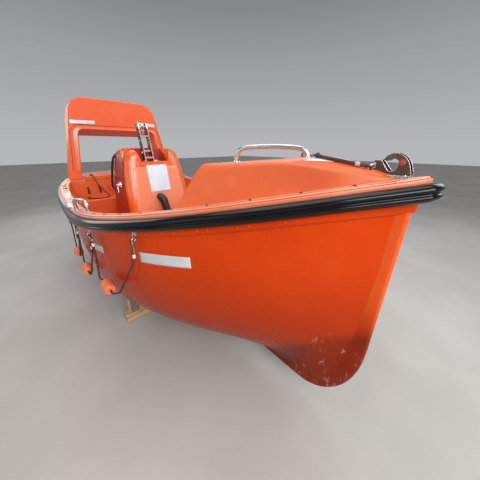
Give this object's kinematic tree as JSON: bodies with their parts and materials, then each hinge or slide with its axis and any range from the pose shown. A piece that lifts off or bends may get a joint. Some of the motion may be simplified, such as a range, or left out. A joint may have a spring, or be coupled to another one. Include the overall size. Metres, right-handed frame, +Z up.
{
  "type": "open rigid rescue boat on a timber cradle",
  "caption": "Open moulded rescue lifeboat with fendered gunwale, foredeck trunk, engine console, lifting frame, stern arch, hanging lifelines, inboard drive and timber cradle.",
  "frame": {"origin": "centre of the object's footprint on the floor", "axes": "+X towards the bow, +Y to port, +Z up"},
  "size_m": [4.4264, 2.0174, 2.424],
  "materials": {
    "gelcoat_orange": "glossy moulded glass fibre, orange",
    "gelcoat_deep": "moulded glass fibre, deeper orange, slightly worn",
    "paint_red": "red-orange enamel",
    "stainless": "polished stainless steel",
    "fender_rubber": "black rubber, dusty",
    "black_plastic": "black moulded plastic",
    "rope_dark": "dark braided rope",
    "float_orange": "faded orange closed-cell float",
    "plate_white": "white plastic sheet",
    "engine_grey": "grey painted metal",
    "bronze": "cast bronze",
    "timber": "rough sawn timber"
  },
  "bodies": {
    "boat": {"hull": "gelcoat_orange", "deck_liner": "gelcoat_orange", "console_body": "gelcoat_orange", "console_front_shell": "gelcoat_orange", "stern_hatch_cover": "gelcoat_orange", "arch": "gelcoat_orange", "flange_strip_starboard": "gelcoat_orange", "flange_strip_port": "gelcoat_orange", "foredeck_trunk": "gelcoat_deep", "side_bench_starboard": "gelcoat_deep", "side_bench_port": "gelcoat_deep", "stern_seat": "gelcoat_deep", "release_lever": "paint_red", "handrail_starboard": "stainless", "bow_hook_frame": "stainless", "bow_hook_pin": "stainless", "lift_frame": "stainless", "lift_hook": "stainless", "grab_handle_starboard": "stainless", "grab_handle_port": "stainless", "cleat_aft_starboard": "stainless", "cleat_aft_port": "stainless", "throttle_lever": "stainless", "fender": "fender_rubber", "air_duct": "black_plastic", "steering_hub": "black_plastic", "console_handhold": "black_plastic", "strap_outer": "black_plastic", "strap_inner": "black_plastic", "stern_cable": "black_plastic", "painter": "rope_dark", "lifeline_aft_starboard": "rope_dark", "lifeline_mid_starboard": "rope_dark", "lifeline_fore_starboard": "rope_dark", "lifeline_aft_port": "rope_dark", "lifeline_mid_port": "rope_dark", "lifeline_fore_port": "rope_dark", "float_aft_starboard": "float_orange", "float_mid_starboard": "float_orange", "float_fore_starboard": "float_orange", "float_aft_port": "float_orange", "float_mid_port": "float_orange", "float_fore_port": "float_orange", "instruction_plate": "plate_white", "engine_block": "engine_grey", "cradle_beam_fore": "timber", "cradle_beam_aft": "timber", "keel_block_fore": "timber", "keel_block_aft": "timber", "cradle_stake": "timber", "bilge_chock_fore_starboard": "timber", "bilge_chock_fore_port": "timber", "bilge_chock_aft_starboard": "timber", "bilge_chock_aft_port": "timber"},
    "trunk_hatch": {"trunk_hatch": "gelcoat_deep"},
    "console_door": {"console_door": "gelcoat_orange"},
    "steering_wheel": {"steering_wheel": "black_plastic"},
    "steering_nozzle": {"steering_nozzle": "engine_grey"},
    "propeller": {"propeller": "bronze", "propeller_shaft": "stainless"}
  },
  "joints": [
    {"name": "trunk_hatch_hinge", "type": "hinge", "parent": "boat", "child": "trunk_hatch", "pos_m": [1.2023, 0.2, 1.5684], "axis": [-0.3024, 0, -0.9532], "range_deg": [0, 110]},
    {"name": "console_door_hinge", "type": "hinge", "parent": "boat", "child": "console_door", "pos_m": [-1.0428, 0.14, 1.0495], "axis": [-0.3012, 0, -0.9536], "range_deg": [0, 100]},
    {"name": "steering_wheel_turn", "type": "hinge", "parent": "boat", "child": "steering_wheel", "pos_m": [-1.0166, -0.08, 1.4709], "axis": [-0.9536, 0, 0.3012], "range_deg": [-450, 450]},
    {"name": "nozzle_steer", "type": "hinge", "parent": "boat", "child": "steering_nozzle", "pos_m": [-1.6632, 0, 0.45], "axis": [0, 0, 1], "range_deg": [-30, 30]},
    {"name": "propeller_spin", "type": "hinge", "parent": "boat", "child": "propeller", "pos_m": [-1.6632, 0, 0.315], "axis": [0.9744, 0, 0.225], "continuous": true}
  ],
  "couplings": [
    {"joint": "nozzle_steer", "follows": "steering_wheel_turn", "ratio": -0.066666}
  ]
}
